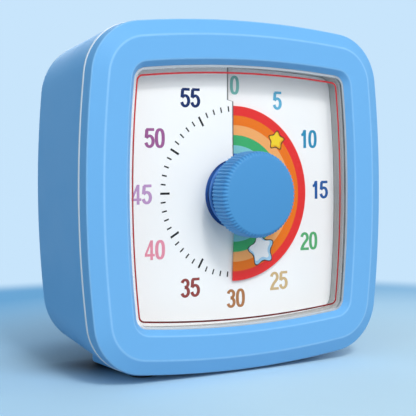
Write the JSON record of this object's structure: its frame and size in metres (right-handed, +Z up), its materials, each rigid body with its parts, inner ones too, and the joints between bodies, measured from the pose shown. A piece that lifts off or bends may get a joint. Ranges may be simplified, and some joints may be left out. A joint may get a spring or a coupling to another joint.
{
  "type": "visual countdown timer",
  "caption": "Desk countdown timer with a bowed square case, a ribbed setting knob and a striped disc that winds through a slit in the dial to show the time left.",
  "frame": {"origin": "centre of the bounding box at its base, on the surface that the feet stand on", "axes": "+Z up, -Y out of the dial towards the viewer, +X to the viewer's right"},
  "size_m": [0.0802, 0.0412, 0.0808],
  "materials": {
    "case_blue": "smooth satin moulded plastic",
    "knob_blue": "smooth satin moulded plastic",
    "lens_clear": "clear polished acrylic with a thin printed line near its edge",
    "silver_trim": "silver moulded trim",
    "white_plastic": "matt white moulded plastic",
    "dial_print": "white printed sheet with plain numbers and ticks",
    "disc_print": "printed sheet with coloured rings",
    "hub_blue": "smooth moulded plastic",
    "steel": "bright steel",
    "brass": "stamped brass",
    "gear_plastic": "acetal",
    "magnet": "dark magnet on a plastic pinion",
    "movement_plastic": "ivory moulded plastic",
    "copper": "enamelled copper wire",
    "board_green": "green solder mask",
    "black_resin": "cast resin",
    "black_plastic": "matt moulded plastic",
    "cell_can": "plain wrapped metal can",
    "rubber": "matt rubber",
    "wire_red": "insulated wire",
    "wire_black": "insulated wire"
  },
  "bodies": {
    "case": {"front_bezel": "case_blue", "lens": "lens_clear", "seam_band": "silver_trim", "rear_shell": "case_blue", "dial_tray": "white_plastic", "dial_face": "dial_print", "movement_plate": "movement_plastic", "movement_cover": "movement_plastic", "stator": "steel", "coil_core": "steel", "coil_bobbin": "movement_plastic", "coil_winding": "copper", "circuit_board": "board_green", "driver_chip": "black_resin", "quartz_crystal": "steel", "buzzer": "black_plastic", "switch_body": "black_plastic", "cell": "cell_can", "cell_spring": "steel", "cell_plate": "steel", "red_lead": "wire_red", "black_lead": "wire_black", "coil_leads": "copper", "case_screws": "steel", "tray_screws": "steel", "movement_screws": "steel", "board_screws": "steel", "feet": "rubber"},
    "knob": {"knob": "knob_blue", "spindle": "steel", "spindle_clip": "steel", "clutch_washer": "brass"},
    "disc": {"time_disc": "disc_print", "disc_hub": "hub_blue"},
    "centre_wheel": {"centre_wheel": "brass"},
    "third_wheel": {"third_wheel": "gear_plastic"},
    "second_wheel": {"second_wheel": "gear_plastic"},
    "rotor": {"rotor": "magnet"},
    "battery_door": {"battery_door": "case_blue"},
    "switch_slider": {"switch_slider": "white_plastic"}
  },
  "joints": [
    {"name": "knob_turn", "type": "hinge", "parent": "case", "child": "knob", "pos_m": [0, -0.0168, 0.0412], "axis": [0, 1, 0], "range_deg": [-180, 180]},
    {"name": "disc_climb", "type": "slide", "parent": "knob", "child": "disc", "axis": [0, -1, 0], "range_m": [-0.00081, 0.00081]},
    {"name": "rotor_turn", "type": "hinge", "parent": "case", "child": "rotor", "pos_m": [0, 0, 0.0512], "axis": [0, 1, 0], "continuous": true},
    {"name": "second_wheel_turn", "type": "hinge", "parent": "case", "child": "second_wheel", "pos_m": [-0.0049, 0, 0.04884], "axis": [0, 1, 0], "continuous": true},
    {"name": "third_wheel_turn", "type": "hinge", "parent": "case", "child": "third_wheel", "pos_m": [-0.00695, 0, 0.04307], "axis": [0, 1, 0], "continuous": true},
    {"name": "centre_wheel_turn", "type": "hinge", "parent": "case", "child": "centre_wheel", "pos_m": [0, 0, 0.0412], "axis": [0, 1, 0], "continuous": true},
    {"name": "battery_door_hinge", "type": "hinge", "parent": "case", "child": "battery_door", "pos_m": [0, 0.01995, 0.02345], "axis": [1, 0, 0], "range_deg": [0, 75]},
    {"name": "volume_slide", "type": "slide", "parent": "case", "child": "switch_slider", "axis": [1, 0, 0], "range_m": [-0.0025, 0.0025]}
  ],
  "couplings": [
    {"joint": "disc_climb", "follows": "knob_turn", "m_per_rad": 0.00025465},
    {"joint": "second_wheel_turn", "follows": "rotor_turn", "ratio": -0.13333},
    {"joint": "third_wheel_turn", "follows": "rotor_turn", "ratio": 0.017778},
    {"joint": "centre_wheel_turn", "follows": "rotor_turn", "ratio": -0.0022222}
  ]
}
